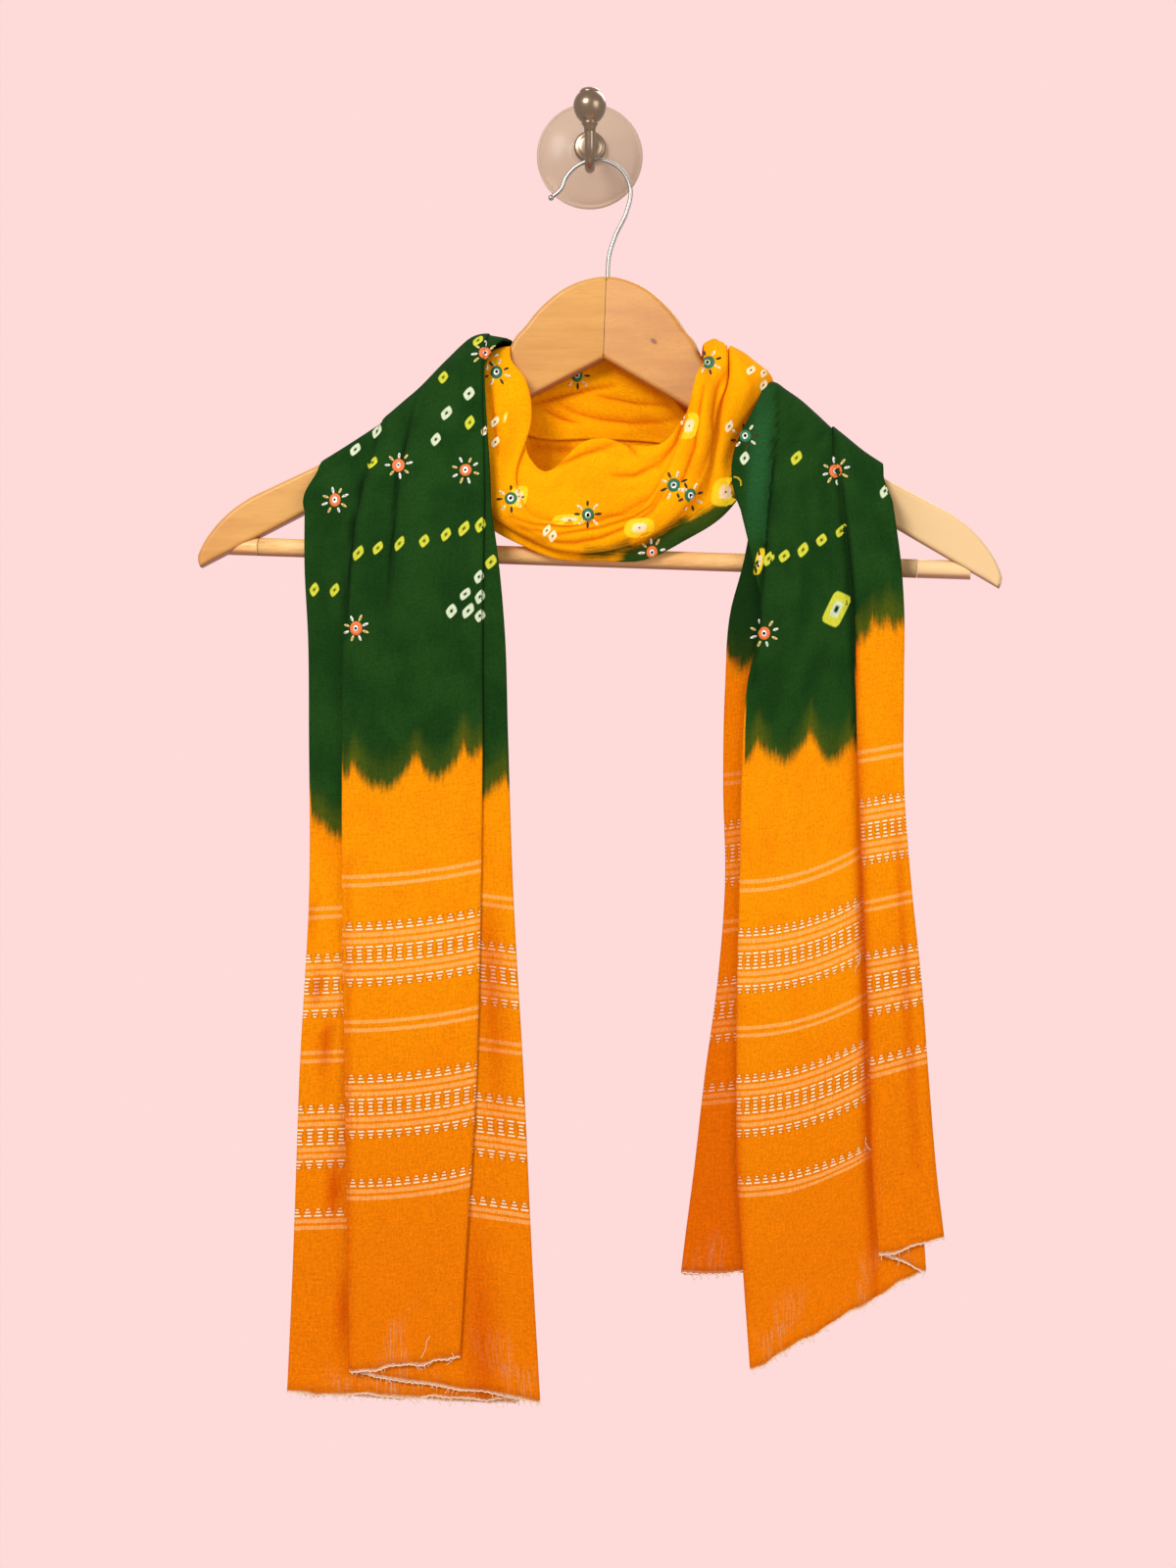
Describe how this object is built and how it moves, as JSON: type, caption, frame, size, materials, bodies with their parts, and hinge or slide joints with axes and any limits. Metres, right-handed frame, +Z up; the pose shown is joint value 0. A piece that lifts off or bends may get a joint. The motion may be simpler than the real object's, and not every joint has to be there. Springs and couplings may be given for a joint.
{
  "type": "wool shawl on a coat hanger and wall hook",
  "caption": "Tie-dyed wool shawl with woven border stripes and mirror embroidery, wound round a wooden coat hanger that hangs from a suction-pad wall hook",
  "frame": {"origin": "centre of the suction pad's back face, on the wall, where the wall holds the part", "axes": "+Z up, +X to the viewer's right along the wall, +Y into the wall; the part lies in front of the wall at y below 0"},
  "size_m": [0.4375, 0.1071, 0.723],
  "materials": {
    "shawl": "matt plain-weave wool, faintly fuzzy, tie-dyed orange and bottle green with cream woven dashes, small tied rings and mirror embroidery",
    "hanger_wood": "pale beech with a satin clear lacquer, browner on its rounded edges",
    "hanger_bar": "round dowel with fine lengthwise grooves, satin lacquer",
    "hanger_wire": "bright nickel-plated wire",
    "hook_metal": "aged nickel plate, brownish in its hollows",
    "hook_pad": "clear soft plastic with a faint amber tint"
  },
  "bodies": {
    "root": {"shawl_tail_left": "shawl", "shawl_tail_right": "shawl", "shawl_cowl_front": "shawl", "shawl_back_left": "shawl", "shawl_back_right": "shawl", "hanger_arm_left": "hanger_wood", "hanger_arm_right": "hanger_wood", "hanger_tenon_left": "hanger_wood", "hanger_tenon_right": "hanger_wood", "hanger_bar": "hanger_bar", "hanger_hook": "hanger_wire", "wall_pad": "hook_pad", "wall_boss": "hook_metal", "wall_hook": "hook_metal"}
  },
  "joints": []
}
